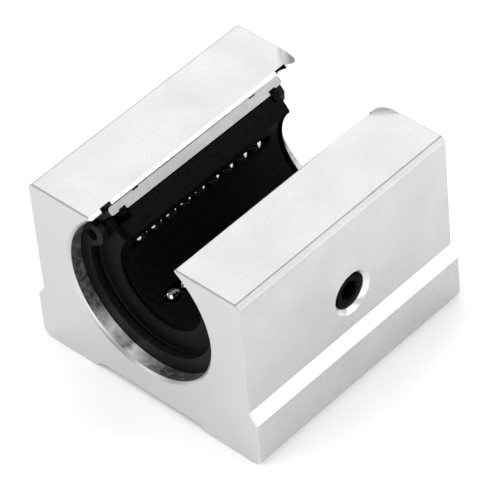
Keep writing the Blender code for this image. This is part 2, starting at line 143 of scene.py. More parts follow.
def in_circuit(centre, across, out, along):
    """A point from a ball circuit's own frame: across the track, out from the axis, along Y."""
    turn = math.radians(centre)
    return (across * math.cos(turn) + out * math.sin(turn), along,
            BORE_HEIGHT - across * math.sin(turn) + out * math.cos(turn))


def spread(low, high, count):
    """Evenly spaced values, both ends included."""
    return [low + (high - low) * i / (count - 1) for i in range(count)]


def solid(name, points, faces):
    """An object from points in millimetres, with its faces turned outwards."""
    mesh = bpy.data.meshes.new(name)
    mesh.from_pydata([tuple(c * MM for c in p) for p in points], [], faces)
    body = bmesh.new()
    body.from_mesh(mesh)
    bmesh.ops.remove_doubles(body, verts=body.verts, dist=1e-7)
    bmesh.ops.recalc_face_normals(body, faces=body.faces)
    body.to_mesh(mesh)
    body.free()
    thing = bpy.data.objects.new(name, mesh)
    bpy.context.scene.collection.objects.link(thing)
    return thing


def skin(name, loops, closed=False):
    """Quads between loops of as many points; the ends are capped unless they join up."""
    count, rows = len(loops[0]), len(loops)
    faces = []
    for i in range(rows if closed else rows - 1):
        a, b = i * count, (i + 1) % rows * count
        faces += [(a + j, a + (j + 1) % count, b + (j + 1) % count, b + j)
                  for j in range(count)]
    if not closed:
        faces += [tuple(range(count)), tuple(range((rows - 1) * count, rows * count))]
    return solid(name, [p for loop in loops for p in loop], faces)


def turned(name, profile, place=on_bore, start=0.0, end=360.0, steps=180):
    """A closed (radius, along) profile turned about an axis, whole or from start to end."""
    whole = end - start > 359.9
    angles = spread(start, end, steps + 1)[:steps if whole else steps + 1]
    loops = [[place(r, h, a) for r, h in profile] for a in angles]
    return skin(name, loops, closed=whole)


def extruded(name, outline, span):
    """An (x, z) outline drawn out along Y."""
    return skin(name, [[(x, y, z) for x, z in outline] for y in span])


def rounded(corners, segments=5):
    """A closed outline of (x, z, radius) corners, with an arc at each corner that has one."""
    points = []
    for i, (x, z, radius) in enumerate(corners):
        here = Vector((x, z))
        before = Vector(corners[i - 1][:2]) - here
        after = Vector(corners[(i + 1) % len(corners)][:2]) - here
        if radius <= 0:
            points.append((x, z))
            continue
        angle = before.angle(after)
        reach = min(radius / math.tan(angle / 2), 0.49 * before.length, 0.49 * after.length)
        radius = reach * math.tan(angle / 2)
        middle = here + (before.normalized() + after.normalized()).normalized() * (
            radius / math.sin(angle / 2))
        first = here + before.normalized() * reach - middle
        last = here + after.normalized() * reach - middle
        turn = first.angle_signed(last)
        for k in range(segments + 1):
            spoke = Matrix.Rotation(-turn * k / segments, 2) @ first
            points.append(tuple(middle + spoke))
    return points


def inset(outline, distance):
    """The outline moved inwards by a distance, corner by corner."""
    points = [Vector(p) for p in outline]
    middle = sum(points, Vector((0.0, 0.0))) / len(points)
    area = sum((a - middle).cross(b - middle) for a, b in zip(points, points[1:] + points[:1]))
    side = 1.0 if area > 0 else -1.0
    moved = []
    for i, here in enumerate(points):
        before = (here - points[i - 1]).normalized()
        after = (points[(i + 1) % len(points)] - here).normalized()
        along = (before + after).normalized()
        inwards = Vector((-along.y, along.x)) * side
        moved.append(tuple(here + inwards * distance / max(0.5, along.dot(after))))
    return moved


def bake(thing):
    """The object's modifiers, made part of its mesh."""
    depsgraph = bpy.context.evaluated_depsgraph_get()
    mesh = bpy.data.meshes.new_from_object(thing.evaluated_get(depsgraph))
    thing.modifiers.clear()
    thing.data = mesh
    return thing


def combine(target, other, operation="DIFFERENCE"):
    """Cuts the other body from the target, or joins it on, and uses it up."""
    boolean = target.modifiers.new("combine", "BOOLEAN")
    boolean.operation = operation
    boolean.solver = "EXACT"
    boolean.object = other
    bpy.context.view_layer.update()
    bake(target)
    bpy.data.objects.remove(other, do_unlink=True)
    return target


def soften(thing, width, angle=28.0):
    """Small rounded edges, as deburring or moulding leaves them."""
    bevel = thing.modifiers.new("edges", "BEVEL")
    bevel.width = width * MM
    bevel.segments = 2
    bevel.limit_method = "ANGLE"
    bevel.angle_limit = math.radians(angle)
    bevel.miter_outer = "MITER_ARC"
    bpy.context.view_layer.update()
    return bake(thing)


def smooth(thing):
    """Smooth shading, with edges over 38 degrees kept sharp."""
    thing.data.shade_smooth()
    thing.data.set_sharp_from_angle(angle=math.radians(38.0))
    weighted = thing.modifiers.new("even_normals", "WEIGHTED_NORMAL")
    weighted.keep_sharp = True
    return thing


def piece(thing, body, slot, look, *nodes):
    """Hangs a mesh on its body in place of the CAD nodes; no look keeps the mesh's own."""
    if look is not None:
        thing.data.materials.clear()
        thing.data.materials.append(look)
    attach(thing, body)
    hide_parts(*nodes)
    return thing


def opening(name, half):
    """The sector round +Z that the shaft's support passes through."""
    reach = 26.0
    sides = [(-reach * math.tan(math.radians(half)), reach), (0.0, 0.0),
             (reach * math.tan(math.radians(half)), reach)]
    return extruded(name, [(x, z + BORE_HEIGHT) for x, z in sides], (-30.0, 30.0))


def thread(name, place, root, crest, pitch, low, high):
    """A helical ridge from the root radius to the crest radius, fading out at both ends."""
    steps_in_turn, fading_turns = 28, 0.6
    turns = (high - low) / pitch
    count = int(turns * steps_in_turn)
    loops = []
    for i in range(count + 1):
        share = i / count
        fade = min(1.0, share * turns / fading_turns, (1 - share) * turns / fading_turns)
        middle = low + (high - low) * share
        angle = 360.0 * turns * share
        top = root + (crest - root) * max(fade, 0.02)
        foot, flat = 0.44 * pitch * max(fade, 0.3), 0.07 * pitch
        base = root - (crest - root) * 0.15
        loops.append([place(base, middle - foot, angle), place(top, middle - flat, angle),
                      place(top, middle + flat, angle), place(base, middle + foot, angle)])
    return skin(name, loops)


# ---------------------------------------------------------------- materials

class Look:
    """A Principled material whose textures are measured in millimetres of the object."""

    def __init__(self, name, colour, roughness, metallic, specular=0.5):
        self.material = bpy.data.materials.new(name)
        self.material.use_nodes = True
        self.tree = self.material.node_tree
        self.shader = self.tree.nodes["Principled BSDF"]
        self.shader.inputs["Base Color"].default_value = (*colour, 1.0)
        self.shader.inputs["Roughness"].default_value = roughness
        self.shader.inputs["Metallic"].default_value = metallic
        self.shader.inputs["Specular IOR Level"].default_value = specular
        self.coordinates = self.node("ShaderNodeTexCoord").outputs["Object"]
        self.material.diffuse_color = (*colour, 1.0)

    def node(self, kind):
        return self.tree.nodes.new(kind)

    def join(self, source, target):
        self.tree.links.new(source, target)

    def millimetres(self, stretch=(1.0, 1.0, 1.0)):
        """The object's coordinates in millimetres; a small stretch draws a texture out."""
        mapping = self.node("ShaderNodeMapping")
        mapping.inputs["Scale"].default_value = [s / MM for s in stretch]
        self.join(self.coordinates, mapping.inputs["Vector"])
        return mapping.outputs["Vector"]

    def noise(self, scale, detail=2.0, stretch=(1.0, 1.0, 1.0), rough=0.5):
        made = self.node("ShaderNodeTexNoise")
        made.inputs["Scale"].default_value = scale
        made.inputs["Detail"].default_value = detail
        made.inputs["Roughness"].default_value = rough
        self.join(self.millimetres(stretch), made.inputs["Vector"])
        return made.outputs["Fac"]

    def ramp(self, source, low, high, start, end):
        """Maps the source from low..high to start..end, and clamps it there."""
        made = self.node("ShaderNodeMapRange")
        for key, value in (("From Min", low), ("From Max", high),
                           ("To Min", start), ("To Max", end)):
            made.inputs[key].default_value = value
        self.join(source, made.inputs["Value"])
        return made.outputs["Result"]

    def total(self, a, b):
        made = self.node("ShaderNodeMath")
        self.join(a, made.inputs[0])
        self.join(b, made.inputs[1])
        return made.outputs[0]

    def colour(self, factor, first, second):
        """Base colour from the first to the second as the factor goes from 0 to 1."""
        made = self.node("ShaderNodeMix")
        made.data_type = "RGBA"
        made.inputs["A"].default_value = (*first, 1.0)
        made.inputs["B"].default_value = (*second, 1.0)
        self.join(factor, made.inputs["Factor"])
        self.join(made.outputs["Result"], self.shader.inputs["Base Color"])

    def roughness(self, factor, low, high):
        """Roughness from low to high over a noise texture's usual range."""
        self.join(self.ramp(factor, 0.3, 0.7, low, high), self.shader.inputs["Roughness"])

    def bump(self, height, depth):
        """Raises the surface by the height texture, depth in millimetres, over earlier bumps."""
        made = self.node("ShaderNodeBump")
        made.inputs["Strength"].default_value = 1.0
        made.inputs["Distance"].default_value = depth * MM
        self.join(height, made.inputs["Height"])
        if self.shader.inputs["Normal"].is_linked:
            self.join(self.shader.inputs["Normal"].links[0].from_socket,
                      made.inputs["Normal"])
        self.join(made.outputs["Normal"], self.shader.inputs["Normal"])


def grey(value):
    return (value, value, value)


def blasted_aluminium():
    """Satin anodised lands and sides: blasted grain over faint extrusion lines."""
    look = Look("blasted_aluminium", grey(0.56), 0.40, 1.0)
    patches = look.noise(0.12, 3.0)
    grain = look.noise(4.2, 3.0, rough=0.75)
    lines = look.noise(1.6, 2.0, stretch=(1.0, 0.03, 1.0))
    look.colour(look.total(patches, look.ramp(grain, 0.35, 0.65, -0.45, 0.45)),
                grey(0.48), grey(0.625))
    look.roughness(grain, 0.33, 0.47)
    look.bump(lines, 0.004)
    look.bump(grain, 0.024)
    return look.material


def painted_highlight_aluminium():
    """Painted highlight on the lips, slopes and countersink: a lighter colour than the anodised
    faces round them, for the light these faces catch; smoother too.
    """
    look = Look("painted_highlight_chamfer_aluminium", grey(0.80), 0.36, 1.0)
    patches = look.noise(0.6, 2.0)
    marks = look.noise(3.0, 2.0)
    look.colour(patches, grey(0.70), grey(0.80))
    look.roughness(patches, 0.32, 0.40)
    look.bump(marks, 0.003)
    return look.material


def milled_aluminium():
    """The two sawn and milled end faces: smoother, with faint straight cutter marks."""
    look = Look("milled_aluminium", grey(0.64), 0.36, 1.0)
    patches = look.noise(0.10, 2.0)
    marks = look.noise(2.2, 2.0, stretch=(0.05, 1.0, 1.0))
    grain = look.noise(5.0, 2.0)
    look.colour(patches, grey(0.57), grey(0.64))
    look.roughness(patches, 0.32, 0.42)
    look.bump(marks, 0.003)
    look.bump(grain, 0.005)
    return look.material


def bored_aluminium():
    """The bore's wall: turned rings, and bands of lighter and darker tone across it."""
    look = Look("bored_aluminium", grey(0.55), 0.45, 0.45)
    along_x = look.node("ShaderNodeSeparateXYZ")
    look.join(look.millimetres(), along_x.inputs[0])
    drift = look.noise(0.35, 3.0, rough=0.6)
    place = look.total(look.ramp(along_x.outputs["X"], -14.0, 14.0, 0.0, 1.0),
                         look.ramp(drift, 0.3, 0.7, -0.035, 0.035))
    bore_tone_bands = look.node("ShaderNodeValToRGB")
    look.join(place, bore_tone_bands.inputs["Fac"])
    stops = bore_tone_bands.color_ramp.elements
    stops[0].position, stops[1].position = 0.03, 1.0
    stops[0].color = stops[1].color = (*grey(BORE_SHADE), 1.0)
    for position, value in BORE_TONE_BANDS:
        stops.new(position).color = (*grey(value), 1.0)
    specks = look.noise(1.1, 4.0, rough=0.7)
    rings = look.noise(4.0, 2.0, stretch=(0.06, 1.0, 0.06))
    tone = look.total(bore_tone_bands.outputs["Color"], look.ramp(specks, 0.35, 0.65, -0.12, 0.12))
    look.colour(tone, grey(0.05), grey(0.95))
    look.roughness(specks, 0.40, 0.52)
    look.bump(rings, 0.010)
    look.bump(specks, 0.012)
    return look.material


def groove_painted_shade_aluminium():
    """Painted shade: the circlip grooves, coloured near black to stand in for the shade inside
    them.
    """
    look = Look("groove_painted_shade_aluminium", grey(0.02), 0.50, 0.4, 0.1)
    # A faint mottle within the painted shade.
    groove_shade_mottle = look.noise(1.4, 4.0, rough=0.65)
    rings = look.noise(4.0, 2.0, stretch=(0.06, 1.0, 0.06))
    look.colour(look.ramp(groove_shade_mottle, 0.4, 0.7, 0.0, 1.0), grey(0.008), grey(0.05))
    look.roughness(groove_shade_mottle, 0.40, 0.60)
    look.bump(rings, 0.008)
    look.bump(groove_shade_mottle, 0.010)
    return look.material


def ends_painted_shade_steel():
    """The sleeve's two end faces, coloured near black as painted shade."""
    look = Look("painted_shade_bearing_steel_ends", grey(0.02), 0.50, 0.4, 0.1)
    # A faint mottle within the painted shade.
    scale = look.noise(1.8, 4.0, rough=0.65)
    lines = look.noise(7.0, 2.0)
    look.colour(look.ramp(scale, 0.4, 0.7, 0.0, 1.0), grey(0.010), grey(0.05))
    look.roughness(scale, 0.42, 0.60)
    look.bump(lines, 0.003)
    look.bump(scale, 0.006)
    return look.material


def ground_steel():
    """The sleeve: ground bearing steel, fine grinding lines round it, cut-off grain."""
    look = Look("ground_bearing_steel", grey(0.38), 0.40, 1.0)
    lines = look.noise(7.0, 2.0, stretch=(0.15, 1.0, 0.15))
    grain = look.noise(5.5, 3.0, rough=0.7)
    tone = look.total(look.ramp(grain, 0.3, 0.7, -0.2, 0.4), look.noise(0.3, 2.0))
    look.colour(tone, grey(0.28), grey(0.44))
    look.roughness(grain, 0.34, 0.50)
    look.bump(lines, 0.004)
    look.bump(grain, 0.010)
    return look.material


def polished_steel():
    """The balls: polished, with the faintest haze of oil."""
    look = Look("polished_ball_steel", grey(0.50), 0.07, 1.0)
    haze = look.noise(0.8, 2.0)
    fine = look.noise(12.0, 2.0)
    look.colour(haze, grey(0.44), grey(0.56))
    look.roughness(haze, 0.05, 0.09)
    look.bump(fine, 0.0004)
    return look.material


def black_resin():
    """Moulded acetal: matte and faintly mottled."""
    look = Look("black_acetal_resin", grey(0.002), 0.55, 0.0, 0.02)
    mottle = look.noise(1.5, 3.0)
    grain = look.noise(9.0, 2.0)
    look.colour(look.ramp(mottle, 0.3, 0.7, 0.0, 1.0), grey(0.0025), grey(0.0065))
    look.roughness(mottle, 0.50, 0.62)
    look.bump(mottle, 0.006)
    look.bump(grain, 0.003)
    return look.material


def black_rubber():
    """Nitrile: duller than the resin, with a moulded skin and faint dust."""
    look = Look("black_nitrile_rubber", grey(0.002), 0.50, 0.0, 0.08)
    dust = look.noise(2.4, 4.0, rough=0.7)
    grain = look.noise(11.0, 2.0)
    look.colour(look.ramp(dust, 0.45, 0.75, 0.0, 1.0), grey(0.0015), grey(0.006))
    look.roughness(dust, 0.45, 0.62)
    look.bump(grain, 0.004)
    return look.material


def blackened_steel():
    """The grub screw and the inner rings: deep black oxide under a film of oil."""
    look = Look("oiled_black_steel", grey(0.003), 0.34, 0.0, 0.012)
    oil = look.noise(2.2, 3.0, rough=0.6)
    lines = look.noise(6.0, 2.0, stretch=(1.0, 0.4, 0.4))
    look.colour(look.ramp(oil, 0.3, 0.7, 0.0, 1.0), grey(0.001), grey(0.004))
    look.roughness(oil, 0.24, 0.40)
    look.bump(lines, 0.003)
    look.bump(oil, 0.003)
    return look.material


def black_oxide():
    """Stamped and blackened spring steel, with faint rolling lines."""
    look = Look("black_oxide_spring_steel", grey(0.004), 0.42, 0.3, 0.07)
    mottle = look.noise(1.8, 4.0, rough=0.6)
    lines = look.noise(5.0, 2.0, stretch=(1.0, 0.2, 0.08))
    look.colour(look.ramp(mottle, 0.3, 0.7, 0.0, 1.0), grey(0.004), grey(0.014))
    look.roughness(mottle, 0.36, 0.52)
    look.bump(lines, 0.004)
    look.bump(mottle, 0.005)
    return look.material


BLASTED = blasted_aluminium()
MILLED = milled_aluminium()
BORED = bored_aluminium()
GROOVE_PAINTED_SHADE = groove_painted_shade_aluminium()
PAINTED_HIGHLIGHT = painted_highlight_aluminium()
ENDS_PAINTED_SHADE = ends_painted_shade_steel()
STEEL = ground_steel()
BALL_STEEL = polished_steel()
RESIN = black_resin()
RUBBER = black_rubber()
OXIDE = black_oxide()
DEEP_BLACK = blackened_steel()


# ---------------------------------------------------------------- pillow block

def mirrored(corners):
    """The other half of an outline that is the same on both sides of x = 0."""
    return [(-x, z, radius) for x, z, radius in reversed(corners)]


def block_outline():
    """The extrusion's section as (x, z, radius) corners: feet, steps, lands and slot."""
    half_base, half_top = BASE_WIDTH / 2, TOP_WIDTH / 2
    right = [
        (PAD_INNER - RECESS_SLOPE, RECESS_DEPTH, 0.6),
        (PAD_INNER - 0.35 * RECESS_SLOPE, 0.72 * RECESS_DEPTH, 0.8),
        (PAD_INNER, 0.0, 0.33),
        (half_base, 0.0, FOOT_RADIUS),
        (half_base, STEP_BOTTOM, 0.35),
        (half_top, STEP_TOP, 0.25),
        (half_top, HEIGHT - TOP_CHAMFER, 0.35),
        (half_top - TOP_CHAMFER, HEIGHT, 0.35),
        (SLOT_HALF + LIP_CHAMFER, HEIGHT, 0.0),
        (SLOT_HALF, HEIGHT - LIP_CHAMFER, 0.0),
        (SLOT_HALF, BORE_HEIGHT + 4.0, 0.0),
    ]
    return rounded([*right, *mirrored(right)])


def bore_profile():
    """The bore with its chamfered mouths and circlip grooves, as (radius, along) points."""
    end = LENGTH / 2
    inner, outer = CIRCLIP_GROOVE
    half = [
        (BORE_RADIUS + 2 * BORE_MOUTH, end + BORE_MOUTH),
        (BORE_RADIUS, end - BORE_MOUTH),
        (BORE_RADIUS, outer),
        (CIRCLIP_GROOVE_RADIUS, outer),
        (CIRCLIP_GROOVE_RADIUS, inner),
        (BORE_RADIUS, inner),
    ]
    top = (0.0, end + BORE_MOUTH)
    return [top, *half, *[(r, -y) for r, y in reversed(half)], (0.0, -top[1])]


def chamfered(x, y, z, normal):
    """True on the slot's lips, the slopes above the feet and the screw's countersink."""
    lip = z > HEIGHT - LIP_CHAMFER and abs(x) < SLOT_HALF + LIP_CHAMFER and normal.z < 0.95
    slope = (abs(x) > TOP_WIDTH / 2 - 0.1 and STEP_BOTTOM < z < STEP_TOP
             and 0.3 < abs(normal.x) < 0.95)
    cone = (x > TOP_WIDTH / 2 - 1.1 and normal.x < 0.98
            and math.hypot(y - SCREW_ALONG, z - SCREW_HEIGHT) < SCREW_COUNTERSINK + 0.1)
    return lip or slope or cone


def in_circlip_groove(x, y, radius):
    inner, outer = CIRCLIP_GROOVE
    return (inner - 0.01 < abs(y) < outer + 0.01 and radius > BORE_RADIUS + 0.05
            and radius < CIRCLIP_GROOVE_RADIUS + 0.03 and abs(x) < 14.9)


def block_look(x, y, z, normal):
    """The finish of the block's face whose middle is there."""
    radius = math.hypot(x, z - BORE_HEIGHT)
    worn_corner = z > 29.0 and y > 15.0 and normal.z > 0.3 and normal.y > 0.05
    if worn_corner:
        return BLASTED
    # The circlip grooves take the painted shade.
    if in_circlip_groove(x, y, radius):
        return GROOVE_PAINTED_SHADE
    if abs(normal.y) > 0.9 and abs(y) > LENGTH / 2 - 0.05:
        return MILLED
    # The lips, slopes and countersink take a painted highlight.
    if chamfered(x, y, z, normal):
        return PAINTED_HIGHLIGHT
    if abs(y) > LENGTH / 2 - BORE_MOUTH and radius < BORE_RADIUS + BORE_MOUTH + 0.05:
        return MILLED
    inside = radius < CIRCLIP_GROOVE_RADIUS + 0.1 and z < HEIGHT - LIP_CHAMFER - 0.02
    on_wall = radius < BORE_RADIUS + 0.05 or abs(y) > CIRCLIP_GROOVE[0] - 0.1
    at_mouth = abs(y) > LENGTH / 2 - BORE_MOUTH - 0.02
    return BORED if inside and on_wall and not at_mouth else BLASTED


def paint_block(mesh):
    # The chamfer look among these is a painted highlight.
    # The groove look among these is painted shade.
    looks = (BLASTED, MILLED, BORED, GROOVE_PAINTED_SHADE, PAINTED_HIGHLIGHT)
    for look in looks:
        mesh.materials.append(look)
    for face in mesh.polygons:
        x, y, z = (c / MM for c in face.center)
        face.material_index = looks.index(block_look(x, y, z, face.normal))


def land_corner(sign):
    """What is worn off the top of a land's inner corner at the rear end."""
    past, above, half_width = 1.2, 1.0, 7.0
    radius = (CORNER_REACH ** 2 + CORNER_DROP ** 2) / (2 * CORNER_DROP)
    top = HEIGHT + CORNER_CLEARANCE
    turns = [math.radians(a)
             for a in spread(0, math.degrees(math.asin((CORNER_REACH + past) / radius)), 16)]
    arc = [(radius * math.sin(turn) - CORNER_REACH, top - radius * (1 - math.cos(turn)))
           for turn in turns]
    section = [(-CORNER_REACH, HEIGHT + above), *arc, (past, HEIGHT + above)]
    diagonal = math.sqrt(0.5)
    x, y = sign * (SLOT_HALF + LIP_CHAMFER), LENGTH / 2
    loops = [[(x + sign * diagonal * (side - u), y + diagonal * (side + u), z)
              for u, z in section] for side in (-half_width, half_width)]
    return skin("land_corner", loops)


def block_blank():
    """The extrusion cut to length, with its ends rounded over."""
    half, outline = LENGTH / 2, block_outline()
    loops = []
    for sign in (-1, 1):
        turns = [math.radians(a) for a in (90, 65, 40, 20, 0)]
        ends = [(sign * (half - END_ROUND * (1 - math.sin(turn))),
                 END_ROUND * (1 - math.cos(turn))) for turn in turns]
        loops += [[(x, y, z) for x, z in inset(outline, depth)] for y, depth in ends[::-sign]]
    return skin("pillow_block", loops)


def cut_bolt_holes(block):
    profile = [(0.0, BOLT_DEPTH + BOLT_DRILL_POINT), (BOLT_MAJOR, BOLT_DEPTH),
               (BOLT_MAJOR, BOLT_MOUTH_DEPTH), (BOLT_MAJOR + BOLT_MOUTH, -0.1), (0.0, -0.1)]
    for x in (-BOLT_X, BOLT_X):
        for y in (-BOLT_Y, BOLT_Y):
            combine(block, turned("bolt_hole", profile, upright(x, y), steps=48))


def cut_screw_hole(block):
    side = TOP_WIDTH / 2
    depth = SCREW_COUNTERSINK - SCREW_HOLE_RADIUS
    profile = [(0.0, side + depth), (SCREW_COUNTERSINK + depth, side + depth),
               (SCREW_HOLE_RADIUS, side - depth), (SCREW_HOLE_RADIUS, SCREW_HOLE_X),
               (0.0, SCREW_HOLE_X)]
    combine(block, turned("screw_hole", profile, on_screw, steps=72))


def add_block():
    block = block_blank()
    combine(block, turned("bore", bore_profile(), steps=240))
    cut_bolt_holes(block)
    cut_screw_hole(block)
    for sign in (-1, 1):
        combine(block, land_corner(sign))
    soften(block, BLOCK_EDGE)
    paint_block(block.data)
    piece(smooth(block), "block", "aluminium_block", None, "housing")


def add_mounting_threads():
    places = [(x, y) for x in (-BOLT_X, BOLT_X) for y in (-BOLT_Y, BOLT_Y)]
    for number, (x, y) in enumerate(places, start=1):
        ridge = thread(f"mounting_thread_{number}", upright(x, y), BOLT_MAJOR, BOLT_MINOR,
                       BOLT_PITCH, 0.9, BOLT_DEPTH - 0.8)
        piece(smooth(ridge), "block", "aluminium_block", BORED, "housing")


# ---------------------------------------------------------------- bushing

def sleeve_profile():
    """The sleeve's wall in section, with rounded ends, as (radius, along) corners."""
    outer = [(SLEEVE_RADIUS, SLEEVE_HALF, 0.55),
             (SLEEVE_RADIUS, OUTER_GROOVE[1], 0.08),
             (OUTER_GROOVE_RADIUS, OUTER_GROOVE[1], 0.06),
             (OUTER_GROOVE_RADIUS, OUTER_GROOVE[0], 0.06),
             (SLEEVE_RADIUS, OUTER_GROOVE[0], 0.08)]
    inner = [(SLEEVE_INNER, RING_GROOVE[0], 0.12),
             (RING_GROOVE_RADIUS, RING_GROOVE[0], 0.1),
             (RING_GROOVE_RADIUS, RING_GROOVE[1], 0.1),
             (MOUTH_RADIUS, RING_GROOVE[1], 0.1),
             (MOUTH_RADIUS, SLEEVE_HALF, 0.45)]
    return rounded([*outer, *[(r, -y, c) for r, y, c in reversed(outer)],
                    *[(r, -y, c) for r, y, c in reversed(inner)], *inner], 4)


def add_sleeve():
    sleeve = turned("sleeve", sleeve_profile(), start=OPEN_ANGLE, end=360 - OPEN_ANGLE,
                    steps=188)
    buried = SLEEVE_INNER + 0.4
    profile = [(RACEWAY_RADIUS, -RACEWAY_HALF), (RACEWAY_RADIUS, RACEWAY_HALF),
               (buried, RACEWAY_HALF), (buried, -RACEWAY_HALF)]
    for centre in CIRCUITS:
        row = centre - math.degrees(math.atan2(TRACK_SHIFT, LOAD_HEIGHT))
        land = turned("land", profile, start=row + RACEWAY_ARC[0], end=row + RACEWAY_ARC[1],
                      steps=14)
        combine(sleeve, land, "UNION")
    soften(sleeve, 0.05)
    sleeve.data.materials.append(STEEL)
    sleeve.data.materials.append(ENDS_PAINTED_SHADE)
    # The end faces take the painted shade.
    for face in sleeve.data.polygons:
        at_end = abs(face.center.y) / MM > SLEEVE_HALF - 0.56
        face.material_index = 1 if at_end and abs(face.normal.y) > 0.12 else 0
    piece(smooth(sleeve), "block", "sleeve_steel", None, "outer_sleeve")


def rounded_bar(name, centre, across, out, along, corner):
    """A bar in a circuit's frame whose corners are rounded in the across-along plane."""
    outline = rounded([(a, y, corner) for a, y in (
        (across[0], along[0]), (across[1], along[0]),
        (across[1], along[1]), (across[0], along[1]))], 8)
    return skin(name, [[in_circuit(centre, a, level, y) for a, y in outline]
                       for level in out])


def add_humps(retainer):
    """The thicker walls between the loaded rows, which fill the sleeve's hollows."""
    load_turn = math.degrees(math.atan2(TRACK_SHIFT, LOAD_HEIGHT))
    rows = sorted((centre - load_turn) % 360 for centre in CIRCUITS)
    before, after = HUMP_GAPS
    starts = [OPEN_ANGLE - 4, *[row + after for row in rows]]
    ends = [*[row + before for row in rows], 364 - OPEN_ANGLE]
    buried = RETAINER_OUTER - 0.6
    hump = rounded([(buried, -HUMP_HALF, 0.0), (RETAINER_HUMP, -HUMP_HALF, 0.4),
                    (RETAINER_HUMP, HUMP_HALF, 0.4), (buried, HUMP_HALF, 0.0)])
    for start, end in zip(starts, ends):
        steps = max(6, int((end - start) / 2))
        combine(retainer, turned("hump", hump, start=start, end=end, steps=steps), "UNION")


def cut_circuit(retainer, centre):
    """A closed ball track, and the slit where its loaded balls reach the shaft."""
    turn = RUN + TRACK_SHIFT
    reach = turn + TRACK_HALF
    low, high = TRACK_SHIFT - TRACK_HALF, TRACK_SHIFT + TRACK_HALF
    past = RETAINER_HUMP + 1.0
    combine(retainer, rounded_bar("load_track", centre, (-high, -low),
                                  (LOAD_FLOOR, past), (-reach, reach), 0.5))
    combine(retainer, rounded_bar("return_track", centre, (low, high),
                                  (POCKET_FLOOR, past), (-reach, reach), 0.5))
    for sign in (-1, 1):
        along = sorted((sign * (turn - TRACK_HALF), sign * (turn + TRACK_HALF + 0.04)))
        combine(retainer, rounded_bar("turn_track", centre, (-high - 0.04, high + 0.04),
                                      (POCKET_FLOOR - 0.05, past + 0.1), along, 0.9))
    end = RUN + BALL_PITCH / 2 + SLIT_HALF
    combine(retainer, rounded_bar("slit", centre,
                                  (-TRACK_SHIFT - SLIT_HALF, -TRACK_SHIFT + SLIT_HALF),
                                  (7.0, LOAD_FLOOR + 0.2), (-end, end), 1.15))


def add_retainer():
    ring = rounded([(RETAINER_INNER, -RETAINER_HALF, 0.3), (RETAINER_OUTER, -RETAINER_HALF, 0.3),
                    (RETAINER_OUTER, RETAINER_HALF, 0.3), (RETAINER_INNER, RETAINER_HALF, 0.3)])
    retainer = turned("retainer", ring, steps=180)
    add_humps(retainer)
    for centre in CIRCUITS:
        cut_circuit(retainer, centre)
    combine(retainer, opening("gap", OPEN_ANGLE + 0.4))
    soften(retainer, 0.07)
    piece(smooth(retainer), "block", "retainer_resin", RESIN, "ball_retainer")


def ball(name, centre):
    """A ball of rings from pole to pole along Y."""
    columns, rows = 40, 24
    x, y, z = centre
    loops = []
    for i in range(rows + 1):
        tilt = math.pi * i / rows
        ring, lift = BALL_RADIUS * math.sin(tilt), BALL_RADIUS * math.cos(tilt)
        loops.append([(x + ring * math.cos(2 * math.pi * j / columns), y - lift,
                       z + ring * math.sin(2 * math.pi * j / columns))
                      for j in range(columns)])
    made = skin(name, loops)
    made.data.shade_smooth()
    return made


def add_balls():
    for index, centre in enumerate(CIRCUITS, start=1):
        for number in range(1, BALLS + 1):
            at = in_circuit(centre, -TRACK_SHIFT, LOAD_HEIGHT, (number - 1) * BALL_PITCH - RUN)
            piece(ball(f"loaded_ball_{index}_{number}", at), f"load_row_{index}", "ball_steel",
                  BALL_STEEL, f"load_ball_{index}_{number}")
        for side, sign in (("front", -1), ("rear", 1)):
            name = f"turn_ball_{side}_{index}"
            at = in_circuit(centre, 0.0, RETURN_HEIGHT, sign * (RUN + TRACK_SHIFT))
            piece(ball(f"turning_ball_{side}_{index}", at), name, "ball_steel", BALL_STEEL,
                  name)
        for number in range(BALLS):
            at = in_circuit(centre, TRACK_SHIFT, RETURN_HEIGHT,
                            (number - (BALLS - 1) / 2) * RETURN_PITCH)
            piece(ball(f"returning_ball_{index}_{number + 1}", at), f"return_row_{index}",
                  "ball_steel", BALL_STEEL, f"return_row_{index}")


# ---------------------------------------------------------------- seals, rings and screw

def add_seals():
    inside, outside = SEAL_SPAN
    for side, sign in (("front", -1), ("rear", 1)):
        profile = rounded([
            (SEAL_OUTER, sign * SEAL_RIM_END, 0.08),
            (SEAL_OUTER, sign * inside, 0.15),
            (SEAL_LIP + 1.0, sign * inside, 0.3),
            (SEAL_LIP, sign * (inside + 0.35), 0.12),
            (SEAL_LIP, sign * (outside - 0.35), 0.12),
            (SEAL_LIP + 1.0, sign * outside, 0.5),
            (SEAL_RIM_INNER - 0.2, sign * outside, 0.12),
            (SEAL_RIM_INNER, sign * SEAL_RIM_END, 0.08)])
        gap = SEAL_OPEN_ANGLE
        seal = turned(f"side_seal_{side}", profile, start=gap, end=360 - gap, steps=180)
        soften(seal, 0.05, angle=50.0)
        piece(smooth(seal), "block", "seal_rubber", RUBBER, f"end_seal_{side}")


def add_snap_rings():
    low, high = SNAP_SPAN
    for side, sign in (("front", -1), ("rear", 1)):
        profile = rounded([(SNAP_OUTER, sign * high, 0.12), (SNAP_OUTER, sign * low, 0.12),
                           (SNAP_INNER, sign * low, 0.12), (SNAP_INNER, sign * high, 0.12)], 3)
        gap = OPEN_ANGLE + 1.0
        ring = turned(f"retaining_ring_{side}", profile, start=gap, end=360 - gap, steps=150)
        piece(smooth(ring), "block", "black_steel", DEEP_BLACK, f"snap_ring_{side}")


def polar(radius, angle, corner=0.0):
    """An outline's (x, z, radius) corner at a radius and an angle round the bore."""
    turn = math.radians(angle)
    return (radius * math.sin(turn), BORE_HEIGHT + radius * math.cos(turn), corner)


